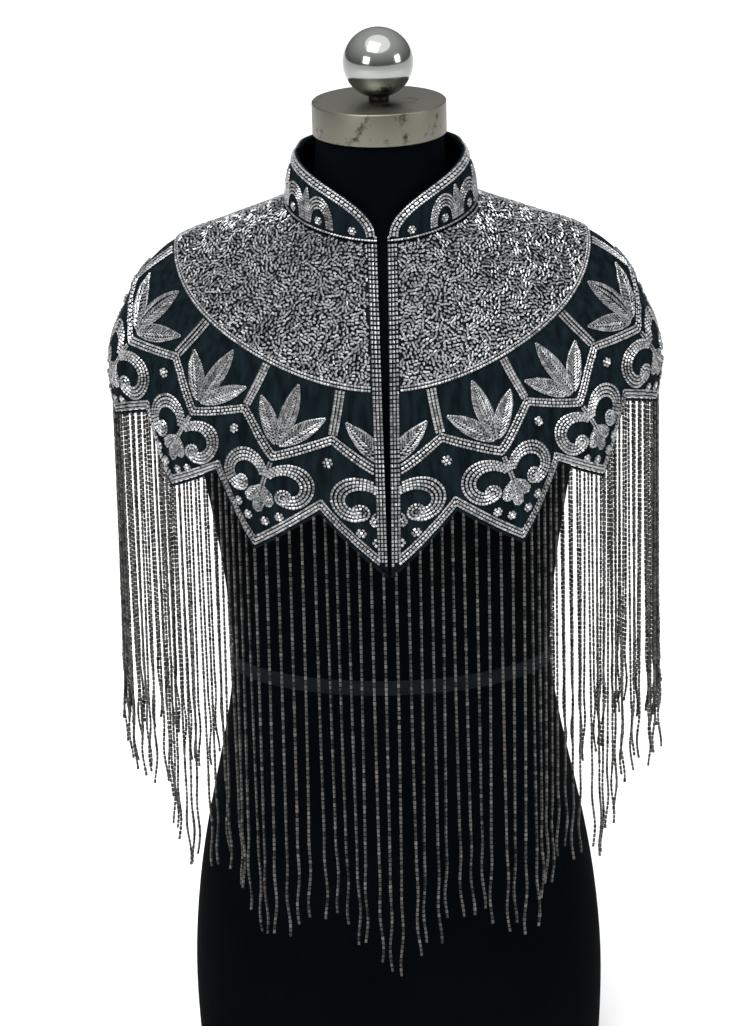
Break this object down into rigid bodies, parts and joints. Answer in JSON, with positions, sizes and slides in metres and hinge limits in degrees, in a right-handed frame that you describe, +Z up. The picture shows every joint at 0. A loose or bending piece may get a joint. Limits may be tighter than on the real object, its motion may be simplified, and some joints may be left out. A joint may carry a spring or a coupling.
{
  "type": "beaded shoulder capelet on a limbless dress form",
  "caption": "Circular shoulder capelet with stand collar, centre-front slit, pointed hem and long bead fringe, worn by a limbless dress form with a steel neck cap and ball finial.",
  "frame": {"origin": "middle of the dress form's flat base", "axes": "+Z up along the form's axis, -Y towards the front of the garment, -X towards the left as seen from the front"},
  "size_m": [0.4913, 0.2984, 0.9788],
  "materials": {
    "net": "soft black crepe net",
    "beads": "silver-lined glass beads",
    "jersey": "matt black knitted cover",
    "tape": "woven tape",
    "steel": "worn brushed steel",
    "chrome": "polished"
  },
  "bodies": {
    "root": {"cape_front_right": "net", "cape_back": "net", "cape_front_left": "net", "collar": "net", "fringe_front_right": "beads", "fringe_front_left": "beads", "fringe_right_1": "beads", "fringe_right_2": "beads", "fringe_right_3": "beads", "fringe_right_4": "beads", "fringe_right_5": "beads", "fringe_right_6": "beads", "fringe_back": "beads", "fringe_left_1": "beads", "fringe_left_2": "beads", "fringe_left_3": "beads", "fringe_left_4": "beads", "fringe_left_5": "beads", "fringe_left_6": "beads", "form_torso": "jersey", "form_waist_tape": "tape", "form_neck_cap": "steel", "form_finial": "chrome"}
  },
  "joints": []
}
